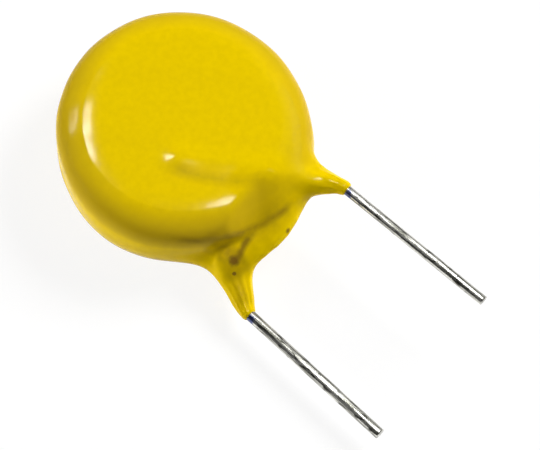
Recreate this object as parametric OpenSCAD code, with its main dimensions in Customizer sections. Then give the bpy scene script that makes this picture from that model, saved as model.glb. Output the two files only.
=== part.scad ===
// Ceramic disc capacitor with radial leads and a dipped coating, lying on its back face.
// The origin is midway between the points where the leads leave the coating. The leads run
// along -Y, the disc lies towards +Y, and +Z is the front face.

/* [Ceramic] */
// Diameter of the ceramic disc
ceramic_d = 13.6; // [13:0.1:14.2]
// Thickness of the ceramic disc
ceramic_t = 2.2; // [1.6:0.1:2.4]
// Diameter of the silver electrode on each face
electrode_d = 12; // [11:0.1:12.8]
// Thickness of the electrode
electrode_t = 0.05; // [0.03:0.01:0.08]

/* [Leads] */
// Diameter of the wire
wire_d = 0.65; // [0.5:0.05:0.7]
// Distance between the two leads where they leave the coating
exit_pitch = 9.6; // [9:0.1:10.4]
// Length of each lead outside the coating
lead_l = 11.3; // [5:0.1:30]
// Angle by which each lead leans outwards
lead_splay = 1.4; // [0:0.1:3]
// How much further out the back lead sits than the front lead
lead_skew = 0.6; // [0:0.1:1]
// Bend radius of the wire's centre line where it enters the coating
bend_r = 2.2; // [1.6:0.1:2.8]
// Angle at which the wire crosses the disc
cross_angle = 36; // [32:0.5:39]
// Straight length of wire inside the coating
inner_l = 9.6; // [8.5:0.1:10.5]

/* [Solder] */
// Diameter of the solder cap on the electrode
solder_d = 4; // [3:0.1:5]
// Height of the solder over the wire
solder_cover = 0.15; // [0.1:0.05:0.25]
// Film of solder between the wire and the electrode
solder_film = 0.05; // [0.03:0.01:0.08]
// Distance of the cap's centre from the end of the wire
solder_inset = 1.4; // [0.8:0.1:2]

/* [Coating] */
// Diameter over the coating
coat_d = 16.4; // [16:0.1:17.4]
// Thickness over the coating
coat_t = 5.4; // [5:0.1:6.5]
// Rounding of the rim
rim_r = 1.8; // [1:0.1:2.2]
// Distance of the disc's centre from the lead exits
disc_reach = 11; // [10.6:0.1:11.6]
// Sideways offset of the disc from the middle of the two leads
disc_offset = 0.85; // [0:0.05:1]
// Height of the ridge over a wire above the flat face
ridge_h = 0.15; // [0.05:0.05:0.3]
// Distance over which the ridge sinks to the sleeve
ridge_run = 3.8; // [3:0.1:4.6]
// Wall of coating round the wire where it ends
sleeve_wall = 0.17; // [0.1:0.01:0.3]
// Angle at which the root of a run-down widens from the sleeve
root_mouth = 20; // [12:1:24]
// Fillet by which the root runs into the rim
root_fillet = 3; // [2:0.1:4]
// How far the root reaches down the rim, past the middle
root_depth = 0.5; // [0:0.1:1]
// Thickness of the bead that joins the two run-downs
bead_d = 1.7; // [1.2:0.1:2]
// Distance in from the exits at which the bead joins the run-downs
bead_in = 2.6; // [2.2:0.1:2.8]

/* [Hidden] */
$fn = 96;
wire_r = wire_d / 2;
electrode_z = ceramic_t / 2;
solder_z = electrode_z + electrode_t;
wire_z = solder_z + solder_film + wire_r;
bend_angle = cross_angle - lead_splay;
face_z = coat_t / 2;
coat_r = coat_d / 2;
sleeve_r = wire_r + sleeve_wall;
ridge_r = face_z + ridge_h - wire_z;
// Angle at which the ridge widens from the sleeve
ridge_mouth = 5;
// The ridge starts inside the sleeve
start_r = wire_r + sleeve_wall / 2;
// Straight lengths reach this far into a bend
joint_lap = 0.1;
// Surfaces that would only touch along a line cross by this much
hair = 0.01;

// Both halves have one form, drawn at the front. The back is it turned half round about Y.
module at_front() translate([0, lead_skew / 2, 0]) children();
module at_back() translate([0, -lead_skew / 2, 0]) rotate([0, 180, 0]) children();
module at_disc() translate([disc_offset, disc_reach, 0]) children();

// Puts its children at a lead's exit, with -Y along the straight lead.
module at_exit()
    translate([exit_pitch / 2, 0, wire_z])
        rotate([0, 0, lead_splay])
            children();

// Puts its children at the inner end of the bend, with +Z along the wire inside the coating.
module at_bend_end()
    at_exit()
        translate([-bend_r, 0, 0])
            rotate([0, 0, bend_angle])
                translate([bend_r, 0, 0])
                    rotate([-90, 0, 0])
                        children();

// A round bar that follows the bend, a hair thicker than the straight lengths of radius r.
module bend(r)
    at_exit()
        translate([-bend_r, 0, 0])
            rotate_extrude(angle = bend_angle)
                translate([bend_r, 0])
                    circle(r + hair);

module bent_wire() {
    at_exit()
        translate([0, joint_lap, 0])
            rotate([90, 0, 0])
                cylinder(r = wire_r, h = joint_lap + lead_l);
    bend(wire_r);
    at_bend_end()
        translate([0, 0, -joint_lap])
            cylinder(r = wire_r, h = joint_lap + inner_l);
}

// A low cap of solder that stands on the electrode and takes in the end of the wire.
module solder_cap() {
    h = solder_film + wire_d + solder_cover;
    cap_r = (pow(solder_d / 2, 2) + h * h) / (2 * h);
    at_bend_end()
        translate([0, 0, inner_l - solder_inset])
            rotate([90, 0, 0])
                translate([0, 0, solder_z - wire_z])
                    rotate_extrude()
                        intersection() {
                            translate([0, h - cap_r]) circle(cap_r);
                            square([solder_d, h]);
                        }
}

module electrode_plate()
    at_disc()
        translate([0, 0, electrode_z])
            cylinder(d = electrode_d, h = electrode_t);

module ceramic_plate()
    at_disc()
        cylinder(d = ceramic_d, h = ceramic_t, center = true);

// Half of the section through the coated disc, with its rounded rim.
module puck_profile() {
    translate([0, -face_z]) square([coat_r - rim_r, coat_t]);
    translate([0, rim_r - face_z]) square([coat_r, coat_t - 2 * rim_r]);
    for (side = [-1, 1])
        translate([coat_r - rim_r, side * (face_z - rim_r)])
            circle(rim_r);
}

// Half section of the ridge over a wire. It widens from the sleeve by a hollow curve, and
// ends in a ball over the end of the wire.
module ridge_profile() {
    reach = joint_lap + inner_l;
    rise = ridge_r - start_r;
    curve_r = (pow(ridge_run, 2) + pow(rise, 2))
        / (2 * (rise * cos(ridge_mouth) - ridge_run * sin(ridge_mouth)));
    intersection() {
        difference() {
            union() {
                square([ridge_r, reach]);
                translate([0, reach]) circle(ridge_r);
            }
            translate([start_r + curve_r * cos(ridge_mouth), -curve_r * sin(ridge_mouth)])
                circle(curve_r);
        }
        square(reach + ridge_r);
    }
}

// Half section of a root on the line from the exit to the middle of the disc, dist away. It
// starts inside the sleeve and widens as a cone, and a fillet carries its side into the rim.
module root_profile(dist) {
    along = dist * cos(root_mouth) - wire_r * sin(root_mouth);
    cone_l = along - sqrt(pow(along, 2) + pow(coat_r + root_fillet, 2)
        - pow(wire_r + root_fillet * cos(root_mouth), 2)
        - pow(dist + root_fillet * sin(root_mouth), 2));
    cone_end = [wire_r + cone_l * sin(root_mouth), cone_l * cos(root_mouth)];
    fillet_centre = cone_end + root_fillet * [cos(root_mouth), -sin(root_mouth)];
    difference() {
        polygon([[0, sleeve_wall], [wire_r + sleeve_wall * tan(root_mouth), sleeve_wall],
                 cone_end, fillet_centre, [0, dist]]);
        translate(fillet_centre) circle(root_fillet + hair);
    }
}

// Half section round the disc's axis of the space that a root may fill. It thins from the
// rim out to the sleeve.
module skirt_profile(dist)
    polygon([[0, -root_depth], [coat_r, -root_depth], [dist, wire_z - sleeve_r],
             [dist, wire_z + sleeve_r + sleeve_wall], [coat_r, wire_z + wire_r],
             [coat_r - rim_r, face_z], [0, face_z]]);

// The coating over the front wire: a sleeve round the bend, a ridge over the face, and the
// root by which the rim runs out to the lead. The disc's axis is at the point middle.
module run_down(middle) {
    exit = [exit_pitch / 2, 0];
    dist = norm(middle - exit);
    bend(sleeve_r);
    at_bend_end()
        translate([0, 0, -joint_lap])
            rotate_extrude() ridge_profile();
    intersection() {
        translate([exit.x, exit.y, wire_z])
            rotate([0, 0, atan2(exit.x - middle.x, middle.y - exit.y)])
                rotate([-90 - atan(wire_z / dist), 0, 0])
                    rotate_extrude() root_profile(dist);
        translate([middle.x, middle.y, 0])
            rotate_extrude() skirt_profile(dist);
    }
}

// A round bar from point a to point b.
module bar(a, b, r) {
    span = b - a;
    translate(a)
        rotate([0, acos(span.z / norm(span)), atan2(span.y, span.x)])
            cylinder(r = r, h = norm(span));
}

// The bead hangs between the roots, from the front one down to the back one.
module bead() {
    front_exit = [exit_pitch / 2, lead_skew / 2, wire_z];
    middle = [disc_offset, disc_reach, 0];
    back_exit = [-front_exit.x, -front_exit.y, -front_exit.z];
    bar(front_exit + bead_in * (middle - front_exit) / norm(middle - front_exit),
        back_exit + bead_in * (middle - back_exit) / norm(middle - back_exit), bead_d / 2);
}

module soldered_wire() {
    bent_wire();
    solder_cap();
}

module solder()
    difference() {
        solder_cap();
        bent_wire();
    }

module coating()
    color("gold")
        difference() {
            union() {
                at_disc() rotate_extrude() puck_profile();
                at_front() run_down([disc_offset, disc_reach - lead_skew / 2]);
                at_back() run_down([-disc_offset, disc_reach + lead_skew / 2]);
                bead();
            }
            ceramic_plate();
            electrode_plate();
            mirror([0, 0, 1]) electrode_plate();
            at_front() soldered_wire();
            at_back() soldered_wire();
        }

module ceramic_disc() color("tan") ceramic_plate();
module front_electrode() color("silver") electrode_plate();
module back_electrode() color("silver") mirror([0, 0, 1]) electrode_plate();
module front_solder() color("lightgray") at_front() solder();
module back_solder() color("lightgray") at_back() solder();
module front_lead() color("darkgray") at_front() bent_wire();
module back_lead() color("darkgray") at_back() bent_wire();

coating();
ceramic_disc();
front_electrode();
back_electrode();
front_solder();
back_solder();
front_lead();
back_lead();
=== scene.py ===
import math
import time

import bmesh
import bpy
import numpy as np
from mathutils import Matrix, Vector


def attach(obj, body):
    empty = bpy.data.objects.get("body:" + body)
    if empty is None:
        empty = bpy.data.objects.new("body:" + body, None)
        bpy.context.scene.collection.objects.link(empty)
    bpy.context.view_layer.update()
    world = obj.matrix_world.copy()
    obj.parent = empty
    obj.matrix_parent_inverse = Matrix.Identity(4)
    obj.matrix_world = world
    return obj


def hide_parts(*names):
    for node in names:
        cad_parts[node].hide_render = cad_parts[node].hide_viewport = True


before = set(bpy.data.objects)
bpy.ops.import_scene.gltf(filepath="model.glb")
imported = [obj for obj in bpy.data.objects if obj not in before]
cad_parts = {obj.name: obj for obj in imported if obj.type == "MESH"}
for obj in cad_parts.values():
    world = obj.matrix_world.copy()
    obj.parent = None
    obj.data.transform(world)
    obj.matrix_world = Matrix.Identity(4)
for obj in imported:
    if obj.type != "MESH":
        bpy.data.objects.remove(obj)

# Lengths in the dictionaries are millimetres, and a mesh is scaled to metres when it is made.
mm = 0.001
startTime = time.perf_counter()
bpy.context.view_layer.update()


def say(text):
    print("[capacitor] %5.1f s  %s" % (time.perf_counter() - startTime, text))


def unit(vector):
    return vector / np.linalg.norm(vector)


# The wires' route

wire = {
    "radius": 0.325,
    "exitX": 4.8,         # half the spacing of the leads
    "height": 1.525,      # wire's middle above the middle of the disc
    "skew": 0.3,          # the front wire sits this far further in, the back wire this far out
    "splay": 1.4,         # degrees that a lead leans out
    "bendRadius": 2.2,
    "crossAngle": 36.0,   # degrees that a wire leans in where it crosses the disc
    "innerLength": 9.6,   # its straight part over the disc
    "leadLength": 11.3,   # from the coat to the cut end
    "tinned": {1: 1.0, -1: 1.12},     # the tin lies thicker on the back lead
    "tinFade": 0.4,       # how far inside the coat it takes to get thin again
    "sides": 32, "leadStep": 0.1, "bendSteps": 18, "innerSteps": 24,
}


def turned(angle, x, y):
    c, s = math.cos(math.radians(angle)), math.sin(math.radians(angle))
    return np.array([c * x - s * y, s * x + c * y, 0.0])


# Key points of the front wire before its skew
exitPoint = np.array([wire["exitX"], 0.0, wire["height"]])
leadEnd = exitPoint - turned(wire["splay"], 0, wire["leadLength"])
bendCentre = exitPoint + turned(wire["splay"], -wire["bendRadius"], 0)
bendEnd = bendCentre + turned(wire["crossAngle"], wire["bendRadius"], 0)
innerEnd = bendEnd + turned(wire["crossAngle"], 0, wire["innerLength"])


def toSide(points, side):
    # side 1 is the front, side -1 the back, which is the front turned half round about Y
    moved = np.array(points, float)
    if side < 0:
        moved = moved * (-1, 1, -1)
    moved[..., 1] += side * wire["skew"]
    return moved


def fromSide(points, side):
    moved = np.array(points, float)
    moved[..., 1] -= side * wire["skew"]
    if side < 0:
        moved = moved * (-1, 1, -1)
    return moved


# The dipped coat's form

coat = {
    "discX": 0.85, "discY": 11.0,
    "radius": 8.21, "halfThickness": 2.7, "rim": 2.6, "rimPower": 2.6,
    # where the shoulder is wider: by how much, at how many degrees, how narrowly
    "slopes": [(0.8, -118, 5), (0.8, 142, 5)],
    "dome": 0.03, "domeReach": 6.5,       # how far the face has sunk, this far from its middle
    # how far the disc is out of round: amount, times round, degrees at which it is greatest
    "outOfRound": [(0.22, 1, 270), (0.15, 2, 73.4), (0.223, 3, 63.2), (0.084, 4, 16.3)],
    "outOfRoundFrom": 8,                  # and from which radius it is so in full
    # the ridge over a wire: its radius, how far from the bend it has widened to that and by how
    # hollow a curve, and the mound over the last part of the wire
    "ridge": {"radius": 1.18, "run": 3.8, "hollow": 1.2, "mound": 0.15, "moundPart": 0.2},
    # the sleeve round the bend, which thins along the lip to a part of its wall
    "sleeve": {"wall": 0.17, "lip": 0.25, "lipPart": 0.3, "soft": 0.06},
    # a run-down's half angle on its outer and inner side, how far it flares into the rim, how
    # far it reaches past the disc's middle plane, how much it leans outwards there, and how
    # softly it joins the coat near the wire
    "frontRoot": {"outer": 18.8, "inner": 10.8, "outerFlare": 0.3, "innerFlare": 3.3,
                  "depth": 0.5, "lean": 0.0, "blend": 0.45},
    "backRoot": {"outer": 17.0, "inner": 15.4, "outerFlare": 1.72, "innerFlare": 3.05,
                 "depth": 0.1, "lean": 0.3, "blend": 1.0},
    "root": {
        "gap": 0.02,                      # from the wire to the cone that it starts as
        "inset": 0.1,                     # how far inside the disc's outline the flare ends
        "endSoft": 0.1,                   # rounding where it ends on the wire
        "topInset": 1.8, "topDrop": 0.3,  # where its top leaves the face, and how far below it
        "exitRise": 0.17,                 # its top above the sleeve at the exit
        "leanReach": 1.5, "leanFrom": 2, "leanRun": 2.5,    # how its underside comes to lean
        "skirtSlope": 0.92, "skirtSoft": 0.3, "soft": 0.9,
    },
    "bead": {
        "radius": (0.85, 1.05),           # half its width at the back and at the front
        "flatness": 0.62, "face": (-0.1, -0.52, 0.85),      # and the way its flat faces
        "frontIn": 3.65, "backIn": 3.66,  # how far in from the exits it ends
        "backLift": 0.85,                 # its back end above the middle of the back wire
        "bow": 1.15, "points": 9,
        # blend along the bead, at its front and at its back
        "crease": 0.1, "web": 1.3, "webPower": 1.7, "tail": 0.25, "tailPower": 3,
    },
    # the flat flank below the front ridge: its tilt, the way it faces, how far it starts from
    # the wire's middle, its height there, how it fades out towards the end of the wire, and how
    # softly it cuts the disc and the run-down
    "flank": {"tilt": 31, "facing": 222, "aside": 0.5, "height": 2.6, "from": 6.1, "lift": 0.22,
              "soft": 0.3, "rootSoft": 0.3},
    # shallow furrows near the wires: their depth, where they start and end, and how they wander
    "flutes": {"depth": {1: 0.012, -1: 0.035}, "count": 9, "start": 0.6, "end": 3.0, "fade": 1.5,
               "wander": 1.5, "turns": 0.9},
    # how softly a ridge, a sleeve and a whole arm join the rest, and how far from the exit an
    # arm's own blend gives way to the last
    "ridgeBlend": 0.5, "sleeveBlend": 0.2, "blend": 0.45, "blendBetween": (4, 6.5),
    # uneven flow of the resin: its depth, and waves with their share, direction and phase
    "flow": 0.025,
    "flowWaves": [(1.0, (1.1, 0.7, 0.0), 0.5), (1.0, (0.6, -1.3, 0.9), 2.1),
                  (0.6, (2.1, 1.7, -1.2), 0.0)],
    "voxel": 0.11, "rounds": 6,
}


# p holds points in rows, and a field is their distance from a surface, less than 0 inside it

def softMin(a, b, k):
    h = np.clip(1 - np.abs(a - b) / k, 0, None)
    return np.minimum(a, b) - h * h * k / 4


def softMax(a, b, k):
    return -softMin(-a, -b, k)


def discField(p):
    x, y = p[:, 0] - coat["discX"], p[:, 1] - coat["discY"]
    r, turn = np.hypot(x, y), np.arctan2(y, x)
    for amount, times, peak in coat["outOfRound"]:
        there = np.clip(r / coat["outOfRoundFrom"], 0, 1)
        r = r - amount * there * np.cos(times * (turn - math.radians(peak)))
    # the shoulder is wider on the side of the leads, where the face slopes down to the bead
    rim = coat["rim"]
    run = np.full(len(p), rim)
    for extra, at, spread in coat["slopes"]:
        run += extra * np.cos((turn - math.radians(at)) / 2) ** (2 * spread) * (p[:, 2] > 0)
    top = coat["halfThickness"] - coat["dome"] * (r / coat["domeReach"]) ** 2
    a = (r - (coat["radius"] - run)) / run
    b = (np.abs(p[:, 2]) - (top - rim)) / rim
    power = coat["rimPower"]
    out = (np.clip(a, 0, None) ** power + np.clip(b, 0, None) ** power) ** (1 / power)
    return (out + np.minimum(np.maximum(a, b), 0) - 1) * rim


def ridgeField(p):
    # widens from the sleeve by a hollow curve, and ends in a low mound over the end of the wire
    shape = coat["ridge"]
    small = wire["radius"] + coat["sleeve"]["wall"]
    along = innerEnd - bendEnd
    t = np.clip(((p - bendEnd) @ along) / (along @ along), 0, 1)
    away = np.linalg.norm(p - bendEnd - t[:, None] * along, axis=1)
    s = np.clip(t * wire["innerLength"] / shape["run"], 0, 1)
    end = np.clip((t - (1 - shape["moundPart"])) / shape["moundPart"], 0, 1)
    widening = s * s * (1 + shape["hollow"] - shape["hollow"] * s)
    mound = shape["mound"] * end * end * (3 - 2 * end)
    return away - (small + (shape["radius"] - small) * widening + mound)


def sleeveField(p):
    # the coat round the bend, thinning to a lip where it ends on the wire
    shape = coat["sleeve"]
    rel = p - bendCentre
    low, high = math.radians(wire["splay"]), math.radians(wire["crossAngle"])
    ang = np.clip(np.arctan2(rel[:, 1], rel[:, 0]), low, high)
    near = np.stack([np.cos(ang), np.sin(ang), np.zeros(len(p))], 1) * wire["bendRadius"]
    away = np.linalg.norm(rel - near, axis=1)
    depth = (p - exitPoint) @ turned(wire["splay"], 0, 1)
    lip = np.sqrt(np.clip(depth / shape["lip"], 0, 1))
    wall = shape["wall"] * (shape["lipPart"] + (1 - shape["lipPart"]) * lip)
    return softMax(away - wire["radius"] - wall, -depth, shape["soft"])


def armMiddle(side):
    # the disc's middle, seen from a wire before its turn and skew
    return np.array([side * coat["discX"], coat["discY"] - side * wire["skew"], 0.0])


def alongArm(p, side):
    # how far points lie from the exit towards the disc's middle, across that, and off it
    axis = unit(armMiddle(side) - exitPoint)
    rel = p - exitPoint
    u = rel @ axis
    across = rel @ np.array([axis[1], -axis[0], 0.0])
    return u, across, rel - u[:, None] * axis


def rootField(p, side):
    # a run-down from the exit towards the middle of the disc, flaring into the rim, within a
    # skirt that thins from the rim out to the wire
    shape, both = coat["frontRoot"] if side > 0 else coat["backRoot"], coat["root"]
    middle = armMiddle(side)
    dist = math.hypot(*(middle - exitPoint)[:2])
    u, across, off = alongArm(p, side)
    rho = np.linalg.norm(off, axis=1)
    outward = 0.5 + 0.5 * np.clip(across / np.clip(rho, 1e-6, None), -1, 1)
    mouth = np.radians(shape["inner"] + (shape["outer"] - shape["inner"]) * outward)
    start = wire["radius"] + both["gap"]
    cone = np.maximum((rho - start) * np.cos(mouth) - u * np.sin(mouth), u - dist)
    r = np.hypot(p[:, 0] - middle[0], p[:, 1] - middle[1])
    flare = shape["innerFlare"] + (shape["outerFlare"] - shape["innerFlare"]) * outward
    plan = softMin(cone, r - coat["radius"] + both["inset"], flare)
    plan = softMax(plan, -u, both["endSoft"])

    sleeve = wire["radius"] + coat["sleeve"]["wall"]
    faceTop = coat["halfThickness"] - both["topDrop"]
    upper = np.interp(r, [0, coat["radius"] - both["topInset"], coat["radius"], dist],
                      [faceTop, faceTop, wire["height"] + wire["radius"],
                       wire["height"] + sleeve + both["exitRise"]])
    lower = np.interp(r, [0, coat["radius"], dist],
                      [-shape["depth"], -shape["depth"], wire["height"] - sleeve])
    leaning = np.clip((u - both["leanFrom"]) / both["leanRun"], 0, 1)
    lower = lower + shape["lean"] * np.clip(across, -both["leanReach"], both["leanReach"]) * leaning
    skirt = softMax((p[:, 2] - upper) * both["skirtSlope"], (lower - p[:, 2]) * both["skirtSlope"],
                    both["skirtSoft"])
    return softMax(plan, skirt, both["soft"])


def fluteField(p, side):
    shape = coat["flutes"]
    u, across, off = alongArm(p, side)
    turn = np.arctan2(off[:, 2], across)
    there = np.clip(u / shape["start"], 0, 1) * np.clip((shape["end"] - u) / shape["fade"], 0, 1)
    wave = np.cos(shape["count"] * turn + shape["wander"] * np.sin(shape["turns"] * u))
    return shape["depth"][side] * there * wave


def beadPath():
    # the bead hangs between the run-downs, and bows outwards a little between its ends
    shape = coat["bead"]
    ends = []
    for side, inwards, lift in ((1, shape["frontIn"], 0), (-1, shape["backIn"], shape["backLift"])):
        point = toSide(exitPoint, side)
        middle = np.array([coat["discX"], coat["discY"], 0.0])
        ends.append(point + inwards * unit(middle - point) + [0, 0, lift])
    front, back = ends
    t = np.linspace(0, 1, shape["points"])[:, None]
    outwards = unit(np.cross(front - back, (0, 0, 1)) * (1, 1, 0))
    if outwards[1] > 0:
        outwards = -outwards
    return back + (front - back) * t + outwards * shape["bow"] * 4 * t * (1 - t)


def joinBead(body, p):
    # the bead runs smoothly into the coat at the front, and leaves a crease towards the back
    shape = coat["bead"]
    route = beadPath()
    radii = np.linspace(*shape["radius"], len(route))
    face = unit(np.array(shape["face"]))
    bead = np.full(len(p), 1e3)
    for a, b, ra, rb in zip(route, route[1:], radii, radii[1:]):
        along = b - a
        t = np.clip(((p - a) @ along) / (along @ along), 0, 1)
        rel = p - a - t[:, None] * along
        rel += (rel @ face)[:, None] * face * (1 / shape["flatness"] - 1)
        bead = np.minimum(bead, np.linalg.norm(rel, axis=1) - ra - (rb - ra) * t)
    front, back = route[-1], route[0]
    t = np.clip(((p - back) @ (front - back)) / ((front - back) @ (front - back)), 0, 1)
    web = shape["web"] * t ** shape["webPower"]
    tail = shape["tail"] * (1 - t) ** shape["tailPower"]
    return softMin(body, bead, shape["crease"] + web + tail)


def flankField(p):
    shape = coat["flank"]
    along = unit(bendEnd - innerEnd)
    aside = np.array([along[1], -along[0], 0.0])
    corner = toSide(innerEnd, 1) + aside * shape["aside"]
    tilt, facing = math.radians(shape["tilt"]), math.radians(shape["facing"])
    normal = np.array([math.sin(tilt) * math.cos(facing), math.sin(tilt) * math.sin(facing),
                       math.cos(tilt)])
    rel = p - corner - [0, 0, shape["height"] - wire["height"]]
    s = rel @ along
    lift = shape["lift"] * np.clip(shape["from"] - s, 0, None) ** 2
    return (rel - s[:, None] * along) @ normal - lift


def coatField(p):
    flank = flankField(p)
    body = joinBead(softMax(discField(p), flank, coat["flank"]["soft"]), p)
    for side in (1, -1):
        q = fromSide(p, side)
        root = rootField(q, side)
        if side > 0:
            root = softMax(root, flank, coat["flank"]["rootSoft"])
        arm = softMin(root, ridgeField(q), coat["ridgeBlend"])
        arm = softMin(arm, sleeveField(q), coat["sleeveBlend"]) + fluteField(q, side)
        near = np.linalg.norm(q - exitPoint, axis=1)
        blend = coat["frontRoot" if side > 0 else "backRoot"]["blend"]
        body = softMin(body, arm, np.interp(near, coat["blendBetween"], [blend, coat["blend"]]))
    flow = sum(share * np.sin(p @ np.array(direction) + phase)
               for share, direction, phase in coat["flowWaves"])
    return body - coat["flow"] * flow / sum(share for share, _, _ in coat["flowWaves"])


def fieldSlope(p, h=0.004):
    slope = np.zeros_like(p)
    for i in range(3):
        step = np.zeros(3)
        step[i] = h
        slope[:, i] = (coatField(p + step) - coatField(p - step)) / (2 * h)
    return slope


def onCoat(points, rounds=8, longest=0.35, flattest=0.2):
    # moves each point down the slope of the field until it lies on the coat's surface
    p = np.array(points, float)
    for _ in range(rounds):
        g = fieldSlope(p)
        size = np.clip((g * g).sum(1), flattest, None)
        step = g * (coatField(p) / size)[:, None]
        length = np.linalg.norm(step, axis=1)
        p -= step * (np.minimum(length, longest) / np.clip(length, 1e-9, None))[:, None]
    return p


def settle(obj, rounds):
    # puts a mesh's vertices on the coat's surface
    mesh = obj.data
    p = np.empty(len(mesh.vertices) * 3)
    mesh.vertices.foreach_get("co", p)
    p = onCoat(p.reshape(-1, 3) / mm, rounds)
    mesh.vertices.foreach_set("co", (p * mm).ravel())
    mesh.update()
    return np.abs(coatField(p)).max()


# Making meshes

def meshObject(name, bm):
    mesh = bpy.data.meshes.new(name)
    bm.to_mesh(mesh)
    bm.free()
    obj = bpy.data.objects.new(name, mesh)
    bpy.context.scene.collection.objects.link(obj)
    return obj


def closeRings(bm, near, far):
    # faces between two rings, of which one may be a single vertex
    sides = max(len(near), len(far))
    for k in range(sides):
        n = (k + 1) % sides
        corners = [near[k % len(near)], far[k % len(far)], far[n % len(far)], near[n % len(near)]]
        bm.faces.new(list(dict.fromkeys(corners)))


def addTube(bm, centres, radii, sides=24):
    # a closed tube through the centres, square to its route
    centres = np.array(centres, float)
    rings = []
    for i, centre in enumerate(centres):
        ahead = unit(centres[min(i + 1, len(centres) - 1)] - centres[max(i - 1, 0)])
        sideways = unit(np.cross(ahead, (0.0, 0.0, 1.0)) + (1e-9, 0, 0))
        upwards = np.cross(sideways, ahead)
        ring = []
        for k in range(sides):
            a = 2 * math.pi * k / sides
            at = centre + radii[i] * (math.cos(a) * sideways + math.sin(a) * upwards)
            ring.append(bm.verts.new(at * mm))
        rings.append(ring)
    for near, far in zip(rings, rings[1:]):
        closeRings(bm, near, far)
    bm.faces.new(rings[0])
    bm.faces.new(rings[-1][::-1])


def applyModifiers(obj):
    shape = obj.evaluated_get(bpy.context.evaluated_depsgraph_get())
    mesh = bpy.data.meshes.new_from_object(shape)
    obj.modifiers.clear()
    old = obj.data
    obj.data = mesh
    bpy.data.meshes.remove(old)


def remesh(obj, size):
    step = obj.modifiers.new("evenMesh", "REMESH")
    step.mode = "VOXEL"
    step.voxel_size = size * mm
    step.adaptivity = 0
    applyModifiers(obj)


def smoothShade(obj):
    obj.data.polygons.foreach_set("use_smooth", [True] * len(obj.data.polygons))


# The coat's mesh grows from rough bodies of these sizes
seed = {
    "sides": 72, "rimSteps": 7,
    "bendRadii": (0.45, 0.75, 1.0), "bendAside": 0.12,      # along the sleeve, from the exit
    "ridgeRadii": (1.0, 1.25), "ridgeOverlap": 0.05,
    "rootFrom": 0.5, "rootTo": 4.0, "rootRadii": (0.45, 1.6),
    "voxel": 0.2, "rounds": 5,
}


def addDisc(bm):
    radius, half, rim = coat["radius"], coat["halfThickness"], coat["rim"]
    middle = Vector((coat["discX"] * mm, coat["discY"] * mm, 0))
    profile = [(0.0, half)]
    profile += [(radius - rim + rim * math.sin(a), half - rim + rim * math.cos(a))
                for a in np.linspace(0, math.pi / 2, seed["rimSteps"])]
    profile += [(r, -z) for r, z in profile[::-1]]
    rings = []
    for r, z in profile:
        ring = []
        for a in np.linspace(0, 2 * math.pi, seed["sides"] if r else 1, endpoint=False):
            at = Vector((r * mm * math.cos(a), r * mm * math.sin(a), z * mm))
            ring.append(bm.verts.new(middle + at))
        rings.append(ring)
    for near, far in zip(rings, rings[1:]):
        closeRings(bm, near, far)


def addArm(bm, side):
    # over a wire: round its bend, along it, and from the exit in to the disc
    elbow = (exitPoint + bendEnd) / 2 + [seed["bendAside"], 0, 0]
    addTube(bm, toSide([exitPoint, elbow, bendEnd], side), seed["bendRadii"])
    start = bendEnd - (innerEnd - bendEnd) * seed["ridgeOverlap"]
    addTube(bm, toSide([start, innerEnd], side), seed["ridgeRadii"])
    inwards = unit(armMiddle(side) - exitPoint)
    root = [exitPoint + seed[key] * inwards for key in ("rootFrom", "rootTo")]
    addTube(bm, toSide(root, side), seed["rootRadii"])


def makeCoat():
    bm = bmesh.new()
    addDisc(bm)
    for side in (1, -1):
        addArm(bm, side)
    route = beadPath()
    addTube(bm, route, np.linspace(*coat["bead"]["radius"], len(route)))
    obj = meshObject("dippedCoat", bm)
    remesh(obj, seed["voxel"])
    settle(obj, seed["rounds"])
    remesh(obj, coat["voxel"])
    miss = settle(obj, coat["rounds"])
    smoothShade(obj)
    say("coat: %d faces, furthest vertex off its surface %.4f mm" % (len(obj.data.polygons), miss))
    return obj


# The leads

def wireRoute():
    # from the cut tip to the end inside the coat
    n = int(wire["leadLength"] / wire["leadStep"])
    route = [leadEnd + (exitPoint - leadEnd) * t for t in np.linspace(0, 1, n, endpoint=False)]
    for a in np.linspace(wire["splay"], wire["crossAngle"], wire["bendSteps"]):
        route.append(bendCentre + turned(a, wire["bendRadius"], 0))
    route += [bendEnd + (innerEnd - bendEnd) * t for t in np.linspace(0, 1, wire["innerSteps"])[1:]]
    return np.array(route)


def makeLead(name, side):
    bm = bmesh.new()
    route, tinned = wireRoute(), wire["tinned"][side]
    inside = np.clip((route - exitPoint) @ turned(wire["splay"], 0, 1) / wire["tinFade"], 0, 1)
    radii = wire["radius"] * (tinned + (1 - tinned) * inside)
    addTube(bm, toSide(route, side), radii, wire["sides"])
    obj = meshObject(name, bm)
    smoothShade(obj)
    return obj


# Materials

# what all of them share: how ragged the rim of a spot is and how far it covers, and the
# strength and depth of a fine grain
finish = {
    "ragged": 0.5, "raggedScale": 5000, "raggedDetail": 3, "cover": 0.85,
    "grainStrength": 0.3, "grainDepth": 0.02,
}


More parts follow.
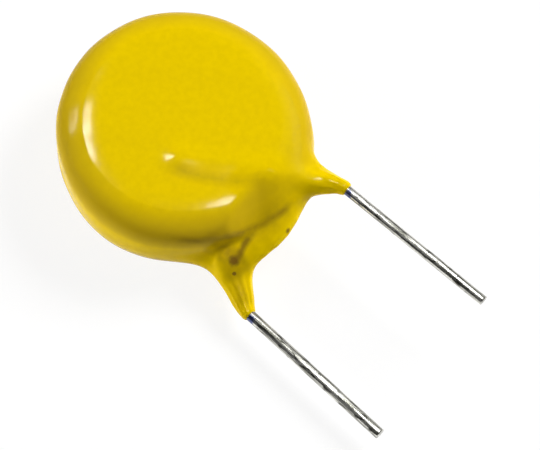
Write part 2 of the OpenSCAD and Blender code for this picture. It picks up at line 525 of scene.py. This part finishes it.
class Paintwork:
    # a material, and short ways to put its nodes together
    def __init__(self, name):
        self.mat = bpy.data.materials.new(name)
        self.mat.use_nodes = True
        self.nodes, self.links = self.mat.node_tree.nodes, self.mat.node_tree.links
        self.shader = self.nodes["Principled BSDF"]
        self.place = self.nodes.new("ShaderNodeTexCoord").outputs["Object"]

    def fill(self, socket, value):
        if isinstance(value, bpy.types.NodeSocket):
            self.links.new(value, socket)
        else:
            socket.default_value = value

    def math(self, operation, *values):
        node = self.nodes.new("ShaderNodeMath")
        node.operation = operation
        for socket, value in zip(node.inputs, values):
            self.fill(socket, value)
        return node.outputs[0]

    def clamp(self, value, low=0.0, high=1.0):
        return self.math("MINIMUM", self.math("MAXIMUM", value, low), high)

    def vector(self, operation, output, *values):
        node = self.nodes.new("ShaderNodeVectorMath")
        node.operation = operation
        for socket, value in zip(node.inputs, values):
            self.fill(socket, value)
        return node.outputs[output]

    def noise(self, scale, detail, stretch=(1, 1, 1)):
        mapping = self.nodes.new("ShaderNodeMapping")
        mapping.inputs["Scale"].default_value = stretch
        self.fill(mapping.inputs["Vector"], self.place)
        node = self.nodes.new("ShaderNodeTexNoise")
        node.inputs["Scale"].default_value = scale
        node.inputs["Detail"].default_value = detail
        self.fill(node.inputs["Vector"], mapping.outputs["Vector"])
        return node.outputs["Fac"]

    def ramp(self, share, low, first, high, second):
        node = self.nodes.new("ShaderNodeValToRGB")
        for element, at, colour in zip(node.color_ramp.elements, (low, high), (first, second)):
            element.position = at
            element.color = colour
        self.fill(node.inputs["Fac"], share)
        return node.outputs["Color"]

    def mix(self, share, first, second):
        node = self.nodes.new("ShaderNodeMix")
        node.data_type = "RGBA"
        self.fill(node.inputs["Factor"], share)
        self.fill(node.inputs[6], first)
        self.fill(node.inputs[7], second)
        return node.outputs[2]

    def near(self, point, reach):
        # 1 at the point, falling to 0 at its reach
        away = self.vector("DISTANCE", "Value", self.place, [c * mm for c in point])
        return self.math("SUBTRACT", 1.0, self.math("DIVIDE", away, reach * mm))

    def seam(self, points, reach, ends, uneven):
        # 1 on the line through the points, falling to 0 at its reach, uneven and fading at its ends
        share = 0.0
        for first, last in zip(points, points[1:]):
            first, along = Vector(first) * mm, (Vector(last) - Vector(first)) * mm
            rel = self.vector("SUBTRACT", "Vector", self.place, first)
            run = self.clamp(self.vector("DOT_PRODUCT", "Value", rel, along / along.length_squared))
            foot = self.vector("MULTIPLY", "Vector", along, run)
            away = self.vector("DISTANCE", "Value", rel, foot)
            here = self.math("SUBTRACT", 1.0, self.math("DIVIDE", away, reach * mm))
            share = self.math("MAXIMUM", share, here)
        share = self.math("MULTIPLY", share, uneven)
        for point in (points[0], points[-1]):
            fade = self.math("SUBTRACT", 1.0, self.math("MAXIMUM", self.near(point, ends), 0.0))
            share = self.math("MULTIPLY", share, fade)
        return self.clamp(share)

    def spot(self, colour, point, reach, strength, spotTint):
        ragged = self.noise(finish["raggedScale"], finish["raggedDetail"])
        ragged = self.math("MULTIPLY_ADD", ragged, finish["ragged"], -finish["ragged"] / 2)
        share = self.math("MULTIPLY", self.math("ADD", self.near(point, reach), ragged), strength)
        return self.mix(self.clamp(share, 0.0, finish["cover"]), colour, spotTint)

    def bump(self, height, strength=finish["grainStrength"], depth=finish["grainDepth"]):
        node = self.nodes.new("ShaderNodeBump")
        node.inputs["Strength"].default_value = strength
        node.inputs["Distance"].default_value = depth * mm
        self.fill(node.inputs["Height"], height)
        self.fill(self.shader.inputs["Normal"], node.outputs["Normal"])

    def set(self, name, value):
        self.fill(self.shader.inputs[name], value)


resin = {
    # faint clouds in the pigment
    "colour": (0.86, 0.61, 0.0, 1), "deep": (0.82, 0.575, 0.0, 1),
    "cloudScale": 2200, "cloudDetail": 5, "clouds": (0.35, 0.65),
    # painted shade in a band round the shoulder of the disc, front and back: how high that band lies,
    # how far the shade reaches, how strong it is, and where it starts beyond the run-downs
    "edgePaintedShade": (0.56, 0.375, 0.01, 1),
    "paintedShadeHeight": 1.75, "paintedShadeReach": 0.92, "paintedShadeShare": 0.9, "paintedShadeStart": 2.5, "paintedShadeFade": 2.0,
    # dark specks, and painted shade in the pocket where the bead's back end meets the lower run-down: x,
    # y, z, reach, strength
    "speckAndPocketShade": (0.20, 0.10, 0.015, 1),
    "specks": [(-3.3, 2.6, 0.2, 0.45, 1.5), (-3.8, 2.1, -0.3, 0.15, 3.0), (0.5, 1.4, 0.5, 0.25, 1.2)],
    # painted shade, browner in the creases and hollows of the coat: lines on it, each with its two ends,
    # how far it bows from straight between them, and the pieces it is drawn in
    "pooled": (0.34, 0.21, 0.01, 1),
    "creases": [
        {"reach": 0.36, "strength": 0.72, "pieces": 6,      # above the bead
         "from": (-5.6, 6.2, 1.9), "to": (2.0, 2.3, 1.5), "bow": (0, -1.0, -0.5)},
        {"reach": 0.32, "strength": 1.3, "pieces": 2,       # in the groove at the bead's back end
         "from": (-3.5, 2.4, 0.1), "to": (-0.9, 2.9, 0.9), "bow": (0, 0.1, 0.1)},
        {"reach": 1.2, "strength": 0.4, "pieces": 3,        # a faint shade round both
         "from": (-3.3, 4.0, 1.4), "to": (2.0, 2.3, 1.5), "bow": (0, -0.4, -0.3)},
        {"reach": 0.8, "strength": 0.85, "pieces": 2,       # down the lower run-down
         "from": (-3.7, 4.1, 0.6), "to": (-3.2, 2.1, 0.0), "bow": (0.2, 0, 0)},
        {"reach": 1.1, "strength": 0.5, "pieces": 1,        # on towards the back lead
         "from": (-3.4, 2.8, 0.3), "to": (-4.9, -0.2, -1.1), "bow": (0, 0, 0)},
        {"reach": 0.6, "strength": 0.34, "pieces": 3,       # below the front ridge
         "from": (-2.3, 9.6, 2.8), "to": (1.7, 4.1, 2.6), "bow": (-0.4, -0.5, 0)},
    ],
    "creaseEnds": 0.9,      # how far from its ends a crease fades
    "unevenScale": 1500, "unevenDetail": 3, "uneven": (1.6, 0.1),      # slope and lift of its noise
    "roughness": 0.13,
    "bumpScale": 1600, "bumpDetail": 3, "bumpStrength": 0.05, "bumpDepth": 0.1,
    # the side shines less than the faces, by this part and up to this height
    "shine": 0.05, "sideShine": 0.3, "sideReach": 1.3,
    # where the flank is duller: x, y, z, reach, by how much, and how steep the patches' edges are
    "dull": [(1.6, 4.2, 2.5, 2.2, 0.9), (0.1, 5.2, 2.7, 1.2, 1.0), (1.3, 5.3, 2.7, 1.3, 0.9)],
    "dullEdge": 3.0,
}


def creasePoints(crease):
    t = np.linspace(0, 1, crease["pieces"] + 1)[:, None]
    start, end, bow = (np.array(crease[key], float) for key in ("from", "to", "bow"))
    return onCoat(start + (end - start) * t + bow * 4 * t * (1 - t))


def paintEdgeShade(work, colour, height, y):
    # painted shade: a darker band round the shoulder of the disc, front and back
    off = work.math("SUBTRACT", height, resin["paintedShadeHeight"] * mm)
    off = work.math("DIVIDE", off, resin["paintedShadeReach"] * mm)
    edgePaintedShade = work.math("SUBTRACT", 1.0, work.math("MULTIPLY", off, off))
    edgePaintedShade = work.math("MAXIMUM", edgePaintedShade, 0.0)
    start = work.math("SUBTRACT", y, resin["paintedShadeStart"] * mm)
    start = work.math("DIVIDE", start, resin["paintedShadeFade"] * mm)
    start = work.clamp(start, 0.0, resin["paintedShadeShare"])
    return work.mix(work.math("MULTIPLY", edgePaintedShade, start), colour, resin["edgePaintedShade"])


def paintCreaseShade(work, colour):
    # painted shade along the creases and hollows of the coat
    uneven = work.noise(resin["unevenScale"], resin["unevenDetail"])
    uneven = work.math("MULTIPLY_ADD", uneven, *resin["uneven"])
    for crease in resin["creases"]:
        seam = work.seam(creasePoints(crease), crease["reach"], resin["creaseEnds"], uneven)
        colour = work.mix(work.math("MULTIPLY", seam, crease["strength"]), colour, resin["pooled"])
    return colour


def shineLevel(work, height):
    side = work.math("DIVIDE", height, resin["sideReach"] * mm)
    side = work.math("MAXIMUM", work.math("SUBTRACT", 1.0, side), 0.0)
    level = work.math("MULTIPLY_ADD", side, resin["shine"] * (resin["sideShine"] - 1), resin["shine"])
    for x, y, z, reach, less in resin["dull"]:
        patch = work.math("MAXIMUM", work.near((x, y, z), reach), 0.0)
        patch = work.math("MINIMUM", work.math("MULTIPLY", patch, resin["dullEdge"]), 1.0)
        level = work.math("MULTIPLY", level, work.math("MULTIPLY_ADD", patch, -less, 1.0))
    return level


def resinMaterial():
    work = Paintwork("yellowResin")
    low, high = resin["clouds"]
    clouds = work.noise(resin["cloudScale"], resin["cloudDetail"])
    colour = work.ramp(clouds, low, resin["deep"], high, resin["colour"])
    place = work.nodes.new("ShaderNodeSeparateXYZ")
    work.fill(place.inputs[0], work.place)
    height = work.math("ABSOLUTE", place.outputs["Z"])
    colour = paintEdgeShade(work, colour, height, place.outputs["Y"])
    colour = paintCreaseShade(work, colour)
    # dark specks, and painted shade in the pocket at the bead's back end
    for x, y, z, reach, strength in resin["specks"]:
        speck = onCoat([(x, y, z)])[0]
        colour = work.spot(colour, speck, reach, strength, resin["speckAndPocketShade"])
    work.set("Base Color", colour)
    work.set("Roughness", resin["roughness"])
    grain = work.noise(resin["bumpScale"], resin["bumpDetail"])
    work.bump(grain, resin["bumpStrength"], resin["bumpDepth"])
    work.set("Specular IOR Level", resin["shine"])      # the even level, where a varied one is lost
    work.set("Specular IOR Level", shineLevel(work, height))
    return work.mat


tin = {
    "colour": (0.86, 0.85, 0.79, 1),
    # dark streaks along the wire: uneven tin, and painted dark reflections
    "wornAndDarkReflection": (0.16, 0.16, 0.13, 1), "streaks": (9000, 300, 9000), "streakDetail": 5, "wearAndReflectionRange": (0.36, 0.56),
    "blot": (0.03, 0.03, 0.02, 1), "blots": (6000, 1500, 6000), "blotDetail": 4, "blotted": (0.36, 0.46),
    "blotShare": (0.9, 0.9, 0.9, 1),
    "metallic": 0.9,
    "roughness": 0.24, "roughSpread": 0.2,
    # painted shade, tinted blue, at the lip of the coat, on one side of the wire
    "spotTint": (0.015, 0.04, 0.22, 1),
    "exitShadeSide": (-0.24, -0.22, 0.12), "exitShadeReach": 0.36, "exitShadeStrength": 2.5,
}


def tinMaterial(name, side):
    work = Paintwork(name)
    # dark streaks along the wire: uneven tin, and painted dark reflections
    streaks = work.noise(1.0, tin["streakDetail"], tin["streaks"])
    low, high = tin["wearAndReflectionRange"]
    colour = work.ramp(streaks, low, tin["wornAndDarkReflection"], high, tin["colour"])
    blots = work.noise(1.0, tin["blotDetail"], tin["blots"])
    low, high = tin["blotted"]
    blots = work.ramp(blots, low, tin["blotShare"], high, (0, 0, 0, 1))
    colour = work.mix(blots, colour, tin["blot"])
    # painted shade, tinted blue, where the wire leaves the coat
    exitShadeAt = toSide(exitPoint, side) + tin["exitShadeSide"]
    colour = work.spot(colour, exitShadeAt, tin["exitShadeReach"], tin["exitShadeStrength"], tin["spotTint"])
    work.set("Base Color", colour)
    work.set("Metallic", tin["metallic"])
    spread = tin["roughSpread"]
    work.set("Roughness", work.math("MULTIPLY_ADD", streaks, spread, tin["roughness"] - spread / 2))
    work.bump(streaks)
    return work.mat


silver = {"name": "firedSilver", "colour": (0.80, 0.79, 0.76, 1), "roughness": 0.45, "scale": 2500}
solder = {"name": "softSolder", "colour": (0.55, 0.55, 0.56, 1), "roughness": 0.3, "scale": 1200}
grey = {"detail": 6, "dark": 0.6, "range": (0.3, 0.7), "roughSpread": 0.5}      # both metals' grain


def metalMaterial(metal):
    work = Paintwork(metal["name"])
    grain = work.noise(metal["scale"], grey["detail"])
    dark = [c * grey["dark"] for c in metal["colour"][:3]] + [1]
    low, high = grey["range"]
    work.set("Base Color", work.ramp(grain, low, dark, high, metal["colour"]))
    spread = grey["roughSpread"] * metal["roughness"]
    work.set("Roughness", work.math("MULTIPLY_ADD", grain, spread, metal["roughness"] - spread / 2))
    work.set("Metallic", 1.0)
    work.bump(grain)
    return work.mat


ceramic = {"dark": (0.42, 0.33, 0.24, 1), "pale": (0.56, 0.46, 0.34, 1), "roughness": 0.7,
           "scale": 3000, "detail": 4}


def ceramicMaterial():
    work = Paintwork("firedCeramic")
    grain = work.noise(ceramic["scale"], ceramic["detail"])
    work.set("Base Color", work.ramp(grain, 0.0, ceramic["dark"], 1.0, ceramic["pale"]))
    work.set("Roughness", ceramic["roughness"])
    work.bump(grain)
    return work.mat


def paint(obj, mat):
    obj.data.materials.clear()
    obj.data.materials.append(mat)


# The camera

view = {
    "azimuth": -53.135, "elevation": 67.2585, "roll": 6.103,      # degrees
    "distance": 200.0, "target": (0.144, 2.644, 0.0),
    "lens": 208.61, "sensor": 36, "near": 10, "far": 10000,
}


def makeCamera():
    az, el, roll = (math.radians(view[k]) for k in ("azimuth", "elevation", "roll"))
    back = Vector((math.cos(el) * math.sin(az), -math.cos(el) * math.cos(az), math.sin(el)))
    right = Vector((0, 0, 1)).cross(back).normalized()
    up = back.cross(right)
    turnedRight = right * math.cos(roll) + up * math.sin(roll)
    turnedUp = up * math.cos(roll) - right * math.sin(roll)
    data = bpy.data.cameras.new("camera")
    data.lens = view["lens"]
    data.sensor_width = view["sensor"]
    data.clip_start, data.clip_end = view["near"] * mm, view["far"] * mm
    cam = bpy.data.objects.new("camera", data)
    place = Matrix((turnedRight, turnedUp, back)).transposed().to_4x4()
    place.translation = (Vector(view["target"]) + back * view["distance"]) * mm
    cam.matrix_world = place
    bpy.context.scene.collection.objects.link(cam)
    bpy.context.scene.camera = cam


# Floor and lights

studio = {
    "world": 0.04,
    "table": (0.88, 0.88, 0.88, 1), "tableRoughness": 0.9, "tableHalf": 1000,
    "tableGlow": 0.82,     # how far the table is white to the camera and in reflections
    "tableLight": 0.29,    # the table is translucent, and faintly lit from under it
    "lampDistance": 350.0, "lampsAim": (0.4, 6.0, 0.0),
    # name, direction from the part, width and height, strength
    "lamps": [
        ("sideRight", (0.76, -0.19, 0.62), (160, 140), 1.2),
        ("sideLeft", (-0.672, 0.672, 0.309), (220, 150), 0.70),
    ],
    # softboxes, seen in reflections only: the same, and the degrees that they are turned by
    "softboxes": [
        ("softboxAbove", (0.20, -0.085, 0.976), (108, 64), 1.4, 66),
        ("softboxBehind", (0.0, 0.52, 0.854), (85, 60), 1.35, 142),
        ("softboxStrip", (-0.2, 0.78, 0.59), (60, 10), 0.12, 15),
        ("softboxSide", (0.67, -0.09, 0.74), (300, 240), 0.13, 90),
    ],
}


def makeLamps():
    middle = Vector(studio["lampsAim"]) * mm
    distance = studio["lampDistance"] * mm
    for name, towards, size, share, *lies in studio["lamps"] + studio["softboxes"]:
        data = bpy.data.lights.new(name, "AREA")
        data.shape = "ELLIPSE" if lies else "RECTANGLE"
        data.size, data.size_y = (s * mm for s in size)
        data.energy = share * math.pi ** 2 * distance ** 2
        lamp = bpy.data.objects.new(name, data)
        towards = Vector(towards).normalized()
        angle = math.radians(lies[0]) if lies else math.atan2(towards.x, -towards.y)
        upwards = towards.cross(Vector((math.cos(angle), math.sin(angle), 0))).normalized()
        place = Matrix((upwards.cross(towards), upwards, towards)).transposed().to_4x4()
        place.translation = middle + towards * distance
        lamp.matrix_world = place
        lamp.visible_glossy = bool(lies)
        lamp.visible_diffuse = not lies
        bpy.context.scene.collection.objects.link(lamp)


def makeWorld():
    world = bpy.data.worlds.new("studio")
    world.use_nodes = True
    sky = world.node_tree.nodes["Background"]
    sky.inputs["Color"].default_value = (1, 1, 1, 1)
    # white where the camera sees past the table, and dim for all else
    nodes, links = world.node_tree.nodes, world.node_tree.links
    strength = nodes.new("ShaderNodeMath")
    strength.operation = "MAXIMUM"
    strength.inputs[0].default_value = studio["world"]
    links.new(nodes.new("ShaderNodeLightPath").outputs["Is Camera Ray"], strength.inputs[1])
    links.new(strength.outputs[0], sky.inputs["Strength"])
    bpy.context.scene.world = world


def makeFloor(low):
    bm = bmesh.new()
    half = studio["tableHalf"] * mm
    bm.faces.new([bm.verts.new((x * half, y * half, low))
                  for x, y in ((-1, -1), (1, -1), (1, 1), (-1, 1))])
    floor = meshObject("floor", bm)
    work = Paintwork("paleTable")
    work.set("Base Color", studio["table"])
    work.set("Roughness", studio["tableRoughness"])
    work.set("Specular IOR Level", 0.0)
    work.set("Emission Color", (1, 1, 1, 1))
    work.set("Emission Strength", studio["tableLight"])
    glow = work.nodes.new("ShaderNodeEmission")
    path = work.nodes.new("ShaderNodeLightPath")
    seen = work.math("MAXIMUM", path.outputs["Is Camera Ray"], path.outputs["Is Glossy Ray"])
    seen = work.math("MAXIMUM", seen, path.outputs["Is Transmission Ray"])
    mix = work.nodes.new("ShaderNodeMixShader")
    work.fill(mix.inputs["Fac"], work.math("MULTIPLY", seen, studio["tableGlow"]))
    work.fill(mix.inputs[1], work.shader.outputs[0])
    work.fill(mix.inputs[2], glow.outputs[0])
    work.fill(work.nodes["Material Output"].inputs["Surface"], mix.outputs[0])
    paint(floor, work.mat)


# Putting it together

coatPiece = makeCoat()
paint(coatPiece, resinMaterial())
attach(coatPiece, "root")
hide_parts("coating")

for leadName, nodeName, side in (("frontLeadWire", "front_lead", 1), ("backLeadWire", "back_lead", -1)):
    lead = makeLead(leadName, side)
    paint(lead, tinMaterial("tinnedFront" if side > 0 else "tinnedBack", side))
    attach(lead, "root")
    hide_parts(nodeName)
say("leads")

paint(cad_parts["ceramic_disc"], ceramicMaterial())
for metal, layer in ((silver, "electrode"), (solder, "solder")):
    mat = metalMaterial(metal)
    for face in ("front", "back"):
        paint(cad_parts[face + "_" + layer], mat)
say("ceramic, electrodes and solder")

makeCamera()
makeLamps()
makeWorld()
low = min(v.co.z for v in coatPiece.data.vertices)
makeFloor(low)
bpy.context.scene.view_settings.view_transform = "Standard"
say("camera, lamps and floor")
